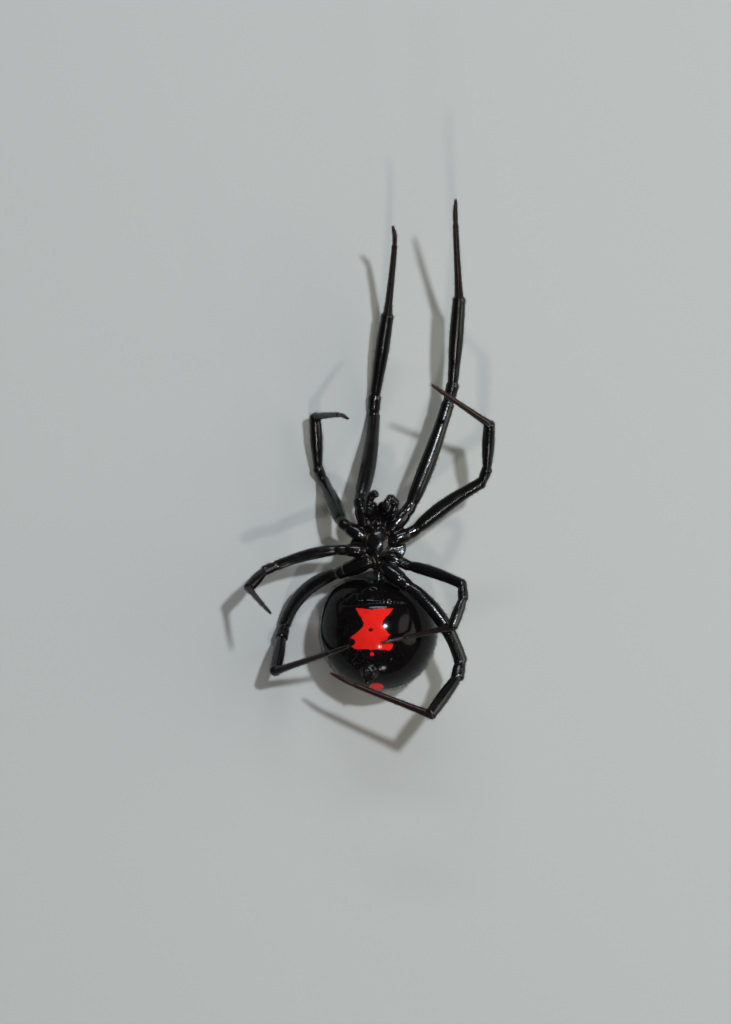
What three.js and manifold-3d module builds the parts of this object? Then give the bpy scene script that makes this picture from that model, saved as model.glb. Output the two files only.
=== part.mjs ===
// A female black widow spider at life size, lying on its back on a floor with its belly up.
//
// Millimetres. +Z is up, and it is the side of the belly. +Y points to the head and +X to the
// spider's left. The origin is on the floor, in the middle of the small flat under the abdomen.

import * as THREE from "three";
import { mergeVertices } from "three/addons/utils/BufferGeometryUtils.js";
import Module from "manifold-3d";

const wasm = await Module();
wasm.setup();

// Sizes of the body
const gap = 0.15;
const abdomenRadius = 3.8;
const abdomenFlat = 1.15;
const abdomenHeight = Math.sqrt(abdomenRadius ** 2 - abdomenFlat ** 2);
const abdomenCentre = new THREE.Vector3(0, 0, abdomenHeight);
const prosomaCentre = new THREE.Vector3(-0.05, 5.95, 4.8);
const prosomaHalfLength = 1.87;
const prosomaPitch = THREE.MathUtils.degToRad(-12);
const pedicelRadius = 0.34;
const eyeRadius = 0.16;
const eyeGap = 0.07;
const inlayDepth = 0.5;
const inlayGap = 0.1;

// How finely the round forms are faceted
const legSides = 9;
const capRings = 3;
const bodySides = 32;
const bodyRings = 22;

// Colours and finish
const finishes = {
  shell: { color: 0x08080a, roughness: 0.16, metalness: 0 },
  leg: { color: 0x0b0a0b, roughness: 0.2, metalness: 0 },
  foot: { color: 0x24100c, roughness: 0.3, metalness: 0 },
  red: { color: 0xd9140f, roughness: 0.22, metalness: 0 },
  eye: { color: 0x050507, roughness: 0.05, metalness: 0 },
  spinneret: { color: 0x17110f, roughness: 0.4, metalness: 0 },
};

// Leg segments in order from the hip: chord lengths, and radii along each one.
// A radius row reads from the near end to the far end.
const segmentNames = ["femur", "patella", "tibia", "metatarsus"];
const pairs = {
  1: {
    lengths: [7.15, 1.3, 5.65, 6.0, 2.0],
    coxa: [0.36, 0.46, 0.5, 0.47, 0.41, 0.43, 0.42],
    femur: [0.38, 0.5, 0.53, 0.5, 0.43, 0.42],
    patella: [0.36, 0.41, 0.4],
    tibia: [0.33, 0.39, 0.45, 0.47, 0.43, 0.38],
    metatarsus: [0.28, 0.28, 0.26, 0.25, 0.25, 0.22, 0.13],
  },
  2: {
    lengths: [5.4, 1.05, 3.5, 3.9, 1.5],
    coxa: [0.34, 0.43, 0.47, 0.44, 0.37, 0.38, 0.37],
    femur: [0.35, 0.47, 0.51, 0.47, 0.4, 0.37],
    patella: [0.31, 0.36, 0.34],
    tibia: [0.29, 0.35, 0.41, 0.42, 0.38, 0.34],
    metatarsus: [0.26, 0.26, 0.25, 0.25, 0.24, 0.2, 0.12],
  },
  3: {
    lengths: [4.3, 0.95, 2.0, 3.15, 1.4],
    coxa: [0.32, 0.4, 0.43, 0.4, 0.34, 0.35, 0.34],
    femur: [0.3, 0.37, 0.39, 0.37, 0.34, 0.33],
    patella: [0.29, 0.34, 0.33],
    tibia: [0.28, 0.33, 0.37, 0.37, 0.35, 0.32],
    metatarsus: [0.25, 0.25, 0.25, 0.24, 0.23, 0.2, 0.12],
  },
  4: {
    lengths: [6.4, 1.2, 3.6, 5.2, 1.8],
    coxa: [0.36, 0.47, 0.53, 0.5, 0.43, 0.44, 0.41],
    femur: [0.35, 0.44, 0.47, 0.46, 0.42, 0.42],
    patella: [0.36, 0.42, 0.4],
    tibia: [0.32, 0.38, 0.42, 0.42, 0.39, 0.36],
    metatarsus: [0.26, 0.26, 0.25, 0.25, 0.24, 0.21, 0.13],
  },
};

// Each leg: where the coxa leaves the body, where the femur starts, how the middle of the femur
// bows out of its chord, and the heading and rise in degrees of femur, patella, tibia,
// metatarsus and tarsus. A heading turns from +X towards +Y, and a rise is towards the belly side.
const legs = {
  left_1: {
    pair: 1, root: [0.8, 6.65, 5.2], hip: [2.0, 8.0, 4.75], bow: [0.1, -0.03, 0],
    turns: [[69.8, -4], [75.3, 7], [85.9, 12.7], [93.5, 39.7], [90.8, 41.7]],
  },
  left_2: {
    pair: 2, root: [0.85, 5.88, 5.25], hip: [2.28, 6.53, 4.95], bow: [-0.09, 0.13, 0],
    turns: [[35.8, 7], [68, 29], [87.9, 34.6], [146.7, 34.7], [146.1, 37.9]],
  },
  left_3: {
    pair: 3, root: [0.62, 4.98, 5.4], hip: [1.84, 4.36, 5.35], bow: [0.02, 0.12, 0],
    turns: [[-18.9, 30], [-86.6, 20], [-110.9, 14], [-167.2, -10], [-167.6, 2]],
  },
  left_4: {
    pair: 4, root: [0.28, 4.35, 5.6], hip: [1.77, 3.16, 6.2], bow: [0.42, 0.3, 0.25], femur: 6.03,
    turns: [[-54.5, 2], [-101.2, 27.5], [-126.9, 35.8], [159, -12], [154.6, -18]],
  },
  right_1: {
    pair: 1, root: [-0.8, 6.95, 5.15], hip: [-1.22, 8.43, 4.75], bow: [0.17, 0, 0],
    turns: [[80.7, -38], [86.7, 16.5], [81.1, 19.6], [84.2, 43.3], [94.5, 55.1]],
  },
  right_2: {
    pair: 2, root: [-0.95, 6.18, 5.2], hip: [-2.28, 7.01, 4.71], bow: [0, 0, 0.1],
    turns: [[115, -54.7], [112.4, 36.8], [93.2, 15.4], [2, 66.6], [-23.3, 65.5]],
  },
  right_3: {
    pair: 3, root: [-0.92, 5.28, 5.35], hip: [-2.44, 5.37, 5.2], bow: [0.04, 0.19, 0],
    turns: [[-165.9, -10.2], [-157.7, 25.6], [-132.7, 40.9], [-46.5, 62.6], [-44.9, 61.2]],
  },
  right_4: {
    pair: 4, root: [-0.55, 4.6, 5.5], hip: [-2.45, 3.92, 4.36], bow: [-0.44, 0.47, 0],
    turns: [[-136.8, -38.6], [-102.8, 40], [-99.8, 53.9], [19.8, 45.6], [19.8, 40.8]],
  },
};

// A closed solid of a geometry whose shared corners are merged.
function solidOf(geometry) {
  const bare = geometry.clone();
  bare.deleteAttribute("normal");
  bare.deleteAttribute("uv");
  const merged = mergeVertices(bare, 1e-4);
  const vertProperties = new Float32Array(merged.attributes.position.array);
  const triVerts = new Uint32Array(merged.index.array);
  const mesh = new wasm.Mesh({ numProp: 3, vertProperties, triVerts });
  mesh.merge();
  return new wasm.Manifold(mesh);
}

// The geometry of a solid, of which only the largest closed piece is kept.
function geometryOf(solid) {
  const pieces = solid.decompose();
  pieces.sort((a, b) => b.volume() - a.volume());
  const mesh = pieces[0].getMesh();
  const geometry = new THREE.BufferGeometry();
  geometry.setAttribute("position", new THREE.BufferAttribute(mesh.vertProperties, 3));
  geometry.setIndex(new THREE.BufferAttribute(mesh.triVerts, 1));
  return geometry;
}

// Moves every corner outwards along its own normal.
function swell(geometry, distance) {
  const bare = geometry.clone();
  bare.deleteAttribute("normal");
  bare.deleteAttribute("uv");
  const merged = mergeVertices(bare, 1e-4);
  merged.computeVertexNormals();
  const place = merged.attributes.position;
  const normal = merged.attributes.normal;
  for (let i = 0; i < place.count; i++) {
    place.setXYZ(
      i,
      place.getX(i) + normal.getX(i) * distance,
      place.getY(i) + normal.getY(i) * distance,
      place.getZ(i) + normal.getZ(i) * distance,
    );
  }
  return merged;
}

// Cuts a shape clear of its neighbours by the gap that each pair keeps.
function clearOf(geometry, neighbours, distance = gap) {
  let solid = solidOf(geometry);
  for (const neighbour of neighbours) {
    solid = solid.subtract(solidOf(swell(neighbour, distance)));
  }
  return geometryOf(solid);
}

// Joins shapes that run into each other.
function joined(geometries) {
  let solid = solidOf(geometries[0]);
  for (const next of geometries.slice(1)) {
    solid = solid.add(solidOf(next));
  }
  return geometryOf(solid);
}

// Applies a change to every corner of a geometry.
function reshape(geometry, change) {
  const place = geometry.attributes.position;
  const point = new THREE.Vector3();
  for (let i = 0; i < place.count; i++) {
    point.fromBufferAttribute(place, i);
    change(point);
    place.setXYZ(i, point.x, point.y, point.z);
  }
  return geometry;
}

// What would lie under the floor is pressed flat on it.
function restOnFloor(geometry) {
  return reshape(geometry, (point) => {
    point.z = Math.max(point.z, 0);
  });
}

// Reads a row of evenly spaced values at a fraction from 0 to 1.
function along(row, fraction) {
  const place = THREE.MathUtils.clamp(fraction, 0, 1) * (row.length - 1);
  const index = Math.min(Math.floor(place), row.length - 2);
  return THREE.MathUtils.lerp(row[index], row[index + 1], place - index);
}

// A rod that is turned on a lathe and then bent along a curve. Its near end is flat, so that the
// cup of a joint can be cut into it, and its far end is round.
function bentRod(curve, radii, rings, sides = legSides) {
  const length = curve.getLength();
  const profile = [new THREE.Vector2(0, 0)];
  for (let i = 0; i <= rings; i++) {
    profile.push(new THREE.Vector2(along(radii, i / rings), (length * i) / rings));
  }
  const endRadius = radii[radii.length - 1];
  for (let i = 1; i <= capRings; i++) {
    const angle = (Math.PI / 2) * (i / capRings);
    const radius = i === capRings ? 0 : endRadius * Math.cos(angle);
    profile.push(new THREE.Vector2(radius, length + endRadius * Math.sin(angle)));
  }
  const rod = new THREE.LatheGeometry(profile, sides);
  const middle = curve.getTangentAt(0.5);
  const across = Math.abs(middle.z) > 0.8 ? new THREE.Vector3(0, 1, 0) : new THREE.Vector3(0, 0, 1);
  return reshape(rod, (point) => {
    const fraction = THREE.MathUtils.clamp(point.y / length, 0, 1);
    const beyond = point.y - fraction * length;
    const forward = curve.getTangentAt(fraction);
    const side = new THREE.Vector3().crossVectors(forward, across).normalize();
    const up = new THREE.Vector3().crossVectors(side, forward);
    const x = point.x;
    const z = point.z;
    point.copy(curve.getPointAt(fraction));
    point.addScaledVector(forward, beyond);
    point.addScaledVector(side, x);
    point.addScaledVector(up, z);
  });
}

// A bent rod has to keep its faces pointing out whichever way the lathe turned it.
function outward(geometry) {
  const solid = solidOf(geometry);
  if (solid.volume() > 0) {
    return geometry;
  }
  const flipped = geometry.clone();
  const corners = flipped.index.array;
  for (let i = 0; i < corners.length; i += 3) {
    [corners[i], corners[i + 1]] = [corners[i + 1], corners[i]];
  }
  return flipped;
}

function rod(curve, radii, rings, sides) {
  return outward(bentRod(curve, radii, rings, sides));
}

// A ball pulled into an ellipsoid.
function egg(centre, halfSizes, sides = 16, rings = 12) {
  const ball = new THREE.SphereGeometry(1, sides, rings);
  ball.scale(...halfSizes);
  ball.translate(...centre);
  return ball;
}

const model = new THREE.Group();
model.name = "black_widow_spider";

// Adds a named piece whose own origin is at a given point.
function addPiece(name, geometry, origin, finish) {
  const local = geometry.clone();
  local.translate(-origin.x, -origin.y, -origin.z);
  local.computeVertexNormals();
  const mesh = new THREE.Mesh(local, new THREE.MeshStandardMaterial(finishes[finish]));
  mesh.name = name;
  mesh.position.copy(origin);
  model.add(mesh);
}

// The prosoma carries the eyes, jaws, palps and legs. Its shield is widest behind the middle and
// narrower at the head, and the plate of its breast stands between the coxae.
const shieldWidths = [1.7, 1.85, 1.95, 1.9, 1.7, 1.42, 1.28, 1.35, 1.7];
const shieldDepths = [0.6, 0.6, 0.62, 0.65, 0.72, 0.86, 0.98, 1.04, 1.06];
const shieldUnderside = 0.14;
const breastTaper = 0.32;

function onShield(point) {
  const fraction = (point.y + 1) / 2;
  point.x *= along(shieldWidths, fraction);
  point.z *= point.z < 0 ? along(shieldDepths, fraction) : shieldUnderside;
  point.y *= prosomaHalfLength;
  return point;
}

function toProsoma(geometry) {
  geometry.rotateX(prosomaPitch);
  geometry.translate(prosomaCentre.x, prosomaCentre.y, prosomaCentre.z);
  return geometry;
}

function prosomaPoint(x, y, z) {
  const point = new THREE.Vector3(x, y, z);
  point.applyAxisAngle(new THREE.Vector3(1, 0, 0), prosomaPitch);
  return point.add(prosomaCentre);
}

const shield = reshape(new THREE.SphereGeometry(1, 22, 16), onShield);
const breastPlate = reshape(egg([0, -0.25, 0.1], [0.95, 1.25, 0.6], 16, 12), (point) => {
  point.x *= 1 - breastTaper * Math.max(0, -point.y);
});
const lip = egg([0, 1.05, 0.3], [0.28, 0.3, 0.34], 8, 6);
const mouthPlates = [-1, 1].map((side) => egg([side * 0.42, 1.2, 0.28], [0.27, 0.44, 0.34], 8, 6));
const prosomaForms = [shield, breastPlate, lip, ...mouthPlates].map(toProsoma);
const wholeProsoma = joined(prosomaForms);

// Eight eyes in two rows of four across the head. A place on the shield is how far forward it is,
// from -1 to 1, and the angle round the shield's section, which is negative on the back.
const eyeRows = [
  { row: "front", forward: 0.93, angles: [-25, -65, -115, -155] },
  { row: "rear", forward: 0.8, angles: [-40, -73, -107, -140] },
];
const eyeColumns = ["left_side", "left_middle", "right_middle", "right_side"];
const eyes = [];
for (const { row, forward, angles } of eyeRows) {
  angles.forEach((degrees, index) => {
    const angle = THREE.MathUtils.degToRad(degrees);
    const ring = Math.sqrt(1 - forward ** 2);
    const place = onShield(new THREE.Vector3(ring * Math.cos(angle), forward, ring * Math.sin(angle)));
    const ball = new THREE.SphereGeometry(eyeRadius, 7, 5);
    const centre = prosomaPoint(place.x, place.y, place.z);
    ball.translate(centre.x, centre.y, centre.z);
    eyes.push({ name: `eye_${row}_${eyeColumns[index]}`, ball, centre });
  });
}
const prosoma = clearOf(wholeProsoma, eyes.map((eye) => eye.ball), eyeGap);
addPiece("prosoma", prosoma, prosomaCentre, "shell");
for (const eye of eyes) {
  addPiece(eye.name, geometryOf(solidOf(eye.ball)), eye.centre, "eye");
}

// The abdomen is a globe that rests on its flattened top. The pedicel joins it on the belly side,
// behind a raised plate, its back swells forward under the prosoma, and the red marks are let
// into its skin.
const swellings = [
  { direction: new THREE.Vector3(-0.09, 0.77, 0.63).normalize(), height: 0.14, spread: 0.16 },
  { direction: new THREE.Vector3(-0.05, 0.93, -0.36).normalize(), height: 0.32, spread: 0.5 },
];

function onAbdomen(point) {
  const direction = point.clone().normalize();
  let radius = abdomenRadius;
  for (const swelling of swellings) {
    const off = direction.angleTo(swelling.direction);
    radius += swelling.height * Math.exp(-((off / swelling.spread) ** 2));
  }
  point.copy(direction).multiplyScalar(radius).add(abdomenCentre);
}

const abdomenBall = new THREE.SphereGeometry(1, bodySides, bodyRings);
abdomenBall.rotateX(Math.PI / 2);
const wholeAbdomen = restOnFloor(reshape(abdomenBall, onAbdomen));

// The outline of the hourglass, seen from below the belly with the head at the top: two flared
// halves with a waist between them, and the ragged spurs of the rear half.
const hourglassPlace = new THREE.Vector2(-0.42, 0.2);
const hourglass = new THREE.Shape([
  new THREE.Vector2(-1.03, 1.46),
  new THREE.Vector2(-0.53, 0.4),
  new THREE.Vector2(-1.37, -0.41),
  new THREE.Vector2(-1.12, -0.61),
  new THREE.Vector2(-1.3, -1.04),
  new THREE.Vector2(-0.78, -1.29),
  new THREE.Vector2(-0.2, -1.37),
  new THREE.Vector2(0.84, -1.44),
  new THREE.Vector2(1.31, -0.89),
  new THREE.Vector2(0.84, -0.64),
  new THREE.Vector2(1.05, -0.19),
  new THREE.Vector2(0.54, 0.54),
  new THREE.Vector2(1.31, 1.38),
]);
const inlayReach = 3;
const hourglassPrism = new THREE.ExtrudeGeometry(hourglass, {
  depth: inlayReach, bevelEnabled: false, steps: 1,
});
hourglassPrism.translate(hourglassPlace.x, hourglassPlace.y, abdomenHeight + abdomenRadius - inlayReach / 2);

// A red spot behind the spinnerets.
const spotTilt = THREE.MathUtils.degToRad(66.5);
const spotRoll = THREE.MathUtils.degToRad(-4);
const spotOutline = new THREE.Shape();
spotOutline.absellipse(0, 0, 0.46, 0.6, 0, 2 * Math.PI);
const spotPrism = new THREE.ExtrudeGeometry(spotOutline, {
  depth: inlayReach, bevelEnabled: false, steps: 1, curveSegments: 5,
});
spotPrism.translate(0, 0, abdomenRadius - inlayReach / 2);
spotPrism.rotateX(spotTilt);
spotPrism.rotateY(spotRoll);
spotPrism.translate(0, 0, abdomenHeight);

const abdomenSolid = solidOf(wholeAbdomen);
const abdomenCore = solidOf(swell(wholeAbdomen, -inlayDepth));
const inlays = [hourglassPrism, spotPrism].map((prism) => {
  return geometryOf(abdomenSolid.intersect(solidOf(prism)).subtract(abdomenCore));
});
const abdomen = clearOf(wholeAbdomen, inlays, inlayGap);
addPiece("abdomen", abdomen, abdomenCentre, "shell");
const hourglassOrigin = new THREE.Vector3(0, 0, abdomenHeight + abdomenRadius);
addPiece("hourglass_mark", inlays[0], hourglassOrigin, "red");
addPiece("tail_spot", inlays[1], abdomenCentre, "red");

// The pedicel is the narrow waist between prosoma and abdomen.
const pedicelStart = new THREE.Vector3(-0.03, 4.6, 5.1);
const pedicelEnd = new THREE.Vector3(0, 3.0, 5.2);
const pedicelLine = new THREE.LineCurve3(pedicelStart, pedicelEnd);
const pedicelRod = rod(pedicelLine, [pedicelRadius, pedicelRadius], 1, 10);
const pedicel = clearOf(pedicelRod, [shield, wholeAbdomen]);
addPiece("pedicel", pedicel, pedicelStart, "shell");

// Six spinnerets stand in a close ring on a low collar.
const spinneretDirection = new THREE.Vector3(-0.15, -0.655, 0.74).normalize();
const collar = new THREE.LatheGeometry(
  [[0, -0.4], [0.62, -0.4], [0.6, 0.08], [0.5, 0.2], [0, 0.22]].map(([r, h]) => new THREE.Vector2(r, h)),
  14,
);
const spinneretParts = [collar];
const spinneretSizes = [
  { ring: 0.34, turn: 45, radius: 0.19, length: 0.62 },
  { ring: 0.34, turn: 135, radius: 0.19, length: 0.62 },
  { ring: 0.34, turn: 225, radius: 0.17, length: 0.55 },
  { ring: 0.34, turn: 315, radius: 0.17, length: 0.55 },
  { ring: 0.12, turn: 0, radius: 0.12, length: 0.42 },
  { ring: 0.12, turn: 180, radius: 0.12, length: 0.42 },
];
for (const { ring, turn, radius, length } of spinneretSizes) {
  const angle = THREE.MathUtils.degToRad(turn);
  const cone = new THREE.CylinderGeometry(radius * 0.55, radius, length, 8);
  cone.translate(ring * Math.cos(angle), length / 2, ring * Math.sin(angle));
  spinneretParts.push(cone);
}
const spinneretTurn = new THREE.Quaternion();
spinneretTurn.setFromUnitVectors(new THREE.Vector3(0, 1, 0), spinneretDirection);
const spinneretPlace = abdomenCentre.clone().addScaledVector(spinneretDirection, abdomenRadius);
const spinneretCluster = joined(spinneretParts);
spinneretCluster.applyQuaternion(spinneretTurn);
spinneretCluster.translate(spinneretPlace.x, spinneretPlace.y, spinneretPlace.z);
addPiece("spinnerets", clearOf(spinneretCluster, [wholeAbdomen]), spinneretPlace, "spinneret");

// Jaws, each with its fang folded in at the tip.
const jaws = [];
for (const [name, side] of [["left", 1], ["right", -1]]) {
  const start = prosomaPoint(side * 0.42, 1.25, 0.05);
  const end = prosomaPoint(side * 0.4, 2.2, 0.8);
  const tip = prosomaPoint(side * 0.12, 2.12, 1.3);
  const base = rod(new THREE.LineCurve3(start, end), [0.3, 0.34, 0.33, 0.27], 3, 9);
  const fang = rod(new THREE.LineCurve3(end, tip), [0.13, 0.1, 0.05], 2, 6);
  const jaw = clearOf(joined([base, fang]), prosomaForms);
  jaws.push(base);
  addPiece(`chelicera_${name}`, jaw, start, "shell");
}

// Palps: short feelers beside the jaws, bent back at the knee. Each straight segment starts inside
// the round end of the one before it.
const palpRadii = [0.26, 0.29, 0.3, 0.27, 0.21];
const palpNeck = 0.85;
const palpShapes = {
  left: [
    [0.4, 7.3, 5.1], [0.92, 7.75, 5.72], [1.03, 8.38, 5.95],
    [0.8, 8.64, 6.15], [0.54, 8.4, 6.32], [0.56, 7.95, 6.35],
  ],
  right: [
    [-0.42, 7.35, 5.05], [-0.6, 7.9, 5.8], [-0.58, 8.54, 6.0],
    [-0.32, 8.98, 6.15], [-0.1, 8.82, 6.45],
  ],
};
const palps = {};
for (const [name, places] of Object.entries(palpShapes)) {
  const points = places.map((place) => new THREE.Vector3(...place));
  const segments = points.slice(1).map((end, index) => {
    const radius = along(palpRadii, index / (points.length - 2));
    const line = new THREE.LineCurve3(points[index], end);
    return rod(line, [radius * palpNeck, radius, radius], 2, 8);
  });
  palps[name] = { points, shape: joined(segments) };
}

// The legs. Each segment starts in the joint, where the round end of the one before it is cut
// out of it as a cup.
function direction(heading, rise) {
  const turn = THREE.MathUtils.degToRad(heading);
  const tilt = THREE.MathUtils.degToRad(rise);
  const flat = Math.cos(tilt);
  return new THREE.Vector3(flat * Math.cos(turn), flat * Math.sin(turn), Math.sin(tilt));
}

function bowed(start, end, bow) {
  const middle = start.clone().lerp(end, 0.5);
  const pull = middle.addScaledVector(new THREE.Vector3(...bow), 2);
  return new THREE.QuadraticBezierCurve3(start, pull, end);
}

const segmentRings = { coxa: 6, femur: 8, patella: 2, tibia: 6, metatarsus: 8 };
const coxae = [];
for (const [name, leg] of Object.entries(legs)) {
  const pair = pairs[leg.pair];
  const root = new THREE.Vector3(...leg.root);
  const joints = [new THREE.Vector3(...leg.hip)];
  leg.turns.forEach(([heading, rise], index) => {
    const length = index === 0 && leg.femur ? leg.femur : pair.lengths[index];
    joints.push(joints[index].clone().addScaledVector(direction(heading, rise), length));
  });
  const curves = {
    coxa: new THREE.LineCurve3(root, joints[0]),
    femur: bowed(joints[0], joints[1], leg.bow),
    patella: new THREE.LineCurve3(joints[1], joints[2]),
    tibia: new THREE.LineCurve3(joints[2], joints[3]),
    metatarsus: new THREE.CatmullRomCurve3(joints.slice(3)),
  };
  const coxa = rod(curves.coxa, pair.coxa, segmentRings.coxa);
  const cleared = clearOf(coxa, [...prosomaForms, wholeAbdomen, ...jaws, ...coxae]);
  coxae.push(coxa);
  addPiece(`leg_${name}_coxa`, cleared, root, "leg");
  let parent = coxa;
  segmentNames.forEach((segment, index) => {
    const shape = restOnFloor(rod(curves[segment], pair[segment], segmentRings[segment]));
    const finish = segment === "metatarsus" ? "foot" : "leg";
    addPiece(`leg_${name}_${segment}`, clearOf(shape, [parent]), joints[index], finish);
    parent = shape;
  });
}

for (const [name, { points, shape }] of Object.entries(palps)) {
  addPiece(`palp_${name}`, clearOf(shape, [...prosomaForms, ...jaws, ...coxae]), points[0], "leg");
}

export default model;
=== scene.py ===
# %% [markdown]
# # A black widow spider, life size, lying on its back
#
# This lesson dresses the plain solids of a spider in Blender. The real animal is a hard, glossy
# black shell with a red hourglass under the globe of the abdomen. It lies belly up, so the
# belly and the hourglass face the camera, which looks straight down.
#
# Everything is modelled in millimetres and scaled to metres when a mesh is done, because the
# steps of a remesh are easier to choose when a leg is 1 unit thick instead of 0.001.

import math

import bpy
import numpy as np
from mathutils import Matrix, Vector


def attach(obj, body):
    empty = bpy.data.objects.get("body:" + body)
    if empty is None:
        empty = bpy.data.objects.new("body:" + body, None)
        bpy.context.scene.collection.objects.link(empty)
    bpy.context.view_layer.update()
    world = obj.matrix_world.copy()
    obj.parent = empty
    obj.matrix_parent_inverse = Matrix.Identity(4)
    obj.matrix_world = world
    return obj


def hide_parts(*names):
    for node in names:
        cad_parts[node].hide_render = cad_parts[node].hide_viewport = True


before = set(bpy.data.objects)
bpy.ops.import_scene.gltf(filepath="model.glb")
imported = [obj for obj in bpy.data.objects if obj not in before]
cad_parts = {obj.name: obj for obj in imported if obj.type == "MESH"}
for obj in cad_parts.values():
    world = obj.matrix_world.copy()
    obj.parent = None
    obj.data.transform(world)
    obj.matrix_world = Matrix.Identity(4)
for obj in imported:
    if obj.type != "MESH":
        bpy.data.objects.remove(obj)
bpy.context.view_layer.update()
MM = 0.001
SEED = 7
random = np.random.default_rng(SEED)


def placed(name, data):
    """A new object in the scene."""
    thing = bpy.data.objects.new(name, data)
    bpy.context.collection.objects.link(thing)
    return thing


# %% [markdown]
# ## The camera
#
# A close picture of a small animal from some way off has nearly parallel rays. A long lens from
# 400 mm above the floor gives that. Its length follows from the size that one pixel of the
# picture covers at the height of the body. Straight down with the top of the picture towards +Y
# is a camera's own rest turn, so no turn is set.

# %% Camera
CAMERA_PLACE = np.array([-0.833, 7.786, 400])
BODY_HEIGHT = 5
PIXEL_AT_BODY = 0.0644
PICTURE_HEIGHT = 1024
SENSOR = 36
camera_data = bpy.data.cameras.new("camera")
camera_data.sensor_width = SENSOR
camera_data.lens = round(SENSOR * (CAMERA_PLACE[2] - BODY_HEIGHT) / (PICTURE_HEIGHT * PIXEL_AT_BODY), 2)
camera_data.clip_start = 0.01
camera_data.clip_end = 20
camera = placed("camera", camera_data)
camera.location = CAMERA_PLACE * MM
bpy.context.scene.camera = camera
print("camera", tuple(camera.location), "lens", camera_data.lens)

# %% [markdown]
# ## Floor and light
#
# A glossy black thing shows almost nothing but what it mirrors. An even white sky would turn it
# grey, and bare lamps would give it hard dots only. One small soft box near the camera's line
# draws a pale streak along every leg. A wide, weak one on the right gives that flank its soft
# grey, and a long one behind the head lights the folds of the belly. Above the tail a small one
# sets a glint on the hourglass, and a low one lights the spinnerets. The world stays dim, so that
# the shell keeps its black.

# %% Floor
floor_material = bpy.data.materials.new("pale_floor")
floor_material.use_nodes = True
floor_shader = floor_material.node_tree.nodes["Principled BSDF"]
floor_shader.inputs["Base Color"].default_value = (0.33, 0.32, 0.30, 1)
floor_shader.inputs["Roughness"].default_value = 0.8
FLOOR_HALF = 2.0
FLOOR_DEPTH = 0.00001
floor_mesh = bpy.data.meshes.new("floor")
floor_mesh.from_pydata(
    [(x * FLOOR_HALF, y * FLOOR_HALF, -FLOOR_DEPTH) for x, y in ((-1, -1), (1, -1), (1, 1), (-1, 1))],
    [], [(0, 1, 2, 3)],
)
floor_mesh.materials.append(floor_material)
placed("floor", floor_mesh)
print("the floor lies", FLOOR_DEPTH, "m under the solids")

# %% Lights
def soft_box(name, place, target, size, power, colour):
    """An area lamp that faces a target. Place, target and size are in millimetres."""
    data = bpy.data.lights.new(name, "AREA")
    data.shape = "ELLIPSE"
    data.size, data.size_y = size[0] * MM, size[1] * MM
    data.energy = power
    data.color = colour
    lamp = placed(name, data)
    lamp.location = Vector(place) * MM
    aim = (Vector(target) - Vector(place)).normalized()
    lamp.rotation_mode = "QUATERNION"
    lamp.rotation_quaternion = aim.to_track_quat("-Z", "Y")


MIDDLE = (0, 7, 4)
soft_box("axis", (94, 96, 394), MIDDLE, (20, 20), 1.6, (0.80, 0.90, 1.0))
soft_box("flank", (430, 50, 215), MIDDLE, (460, 420), 1.35, (1.0, 1.0, 0.86))
soft_box("sky", (0, 430, 330), MIDDLE, (300, 46), 1.0, (0.82, 0.91, 1.0))
soft_box("spark", (16, -200, 400), MIDDLE, (30, 30), 0.45, (1.0, 0.98, 0.96))
soft_box("tail", (60, -420, 130), MIDDLE, (50, 40), 0.2, (0.90, 0.95, 1.0))
print("lamps:", [lamp.name for lamp in bpy.data.lights])

world = bpy.data.worlds.new("studio")
world.use_nodes = True
background = world.node_tree.nodes["Background"]
background.inputs["Color"].default_value = (0.80, 0.84, 0.88, 1)
background.inputs["Strength"].default_value = 0.05
bpy.context.scene.world = world
bpy.context.scene.view_settings.view_transform = "Standard"

# %% [markdown]
# ## The measures of the spider
#
# The same named sizes as the solids have: the globe of the abdomen, the prosoma that carries
# head and legs, and a table of legs. A leg is five turns of a compass and a level: femur,
# patella, tibia, metatarsus and tarsus each have a heading, a rise and a length. A drawn curve
# for every leg would work too, but then no two segments of a pair would share their length.

# %% Body sizes
ABDOMEN_RADIUS = 3.8
ABDOMEN_FLAT = 1.15
ABDOMEN_CENTRE = np.array([0, 0, math.sqrt(ABDOMEN_RADIUS**2 - ABDOMEN_FLAT**2)])
PROSOMA_CENTRE = np.array([-0.05, 5.95, 4.8])
PROSOMA_HALF = 1.87
PROSOMA_PITCH = math.radians(-12)


def turned(a, b, angle):
    """The two coordinates of a place after a turn in their plane."""
    c, s = math.cos(angle), math.sin(angle)
    return c * a - s * b, s * a + c * b


def pitched(points, angle):
    """Turns points about X, the axis across the body."""
    return np.stack([points[..., 0], *turned(points[..., 1], points[..., 2], angle)], -1)


def from_prosoma(points):
    """Turns places on the upright prosoma into places in the frame."""
    return pitched(np.asarray(points, float), PROSOMA_PITCH) + PROSOMA_CENTRE


def to_prosoma(points):
    """The way back: places in the frame as the upright prosoma has them."""
    return pitched(np.asarray(points, float) - PROSOMA_CENTRE, -PROSOMA_PITCH)


def unit(vectors):
    """Vectors of the same directions and of length 1."""
    return vectors / np.linalg.norm(vectors, axis=-1, keepdims=True)


print("middle of the abdomen", ABDOMEN_CENTRE.round(2), "and of the prosoma", PROSOMA_CENTRE)

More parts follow.
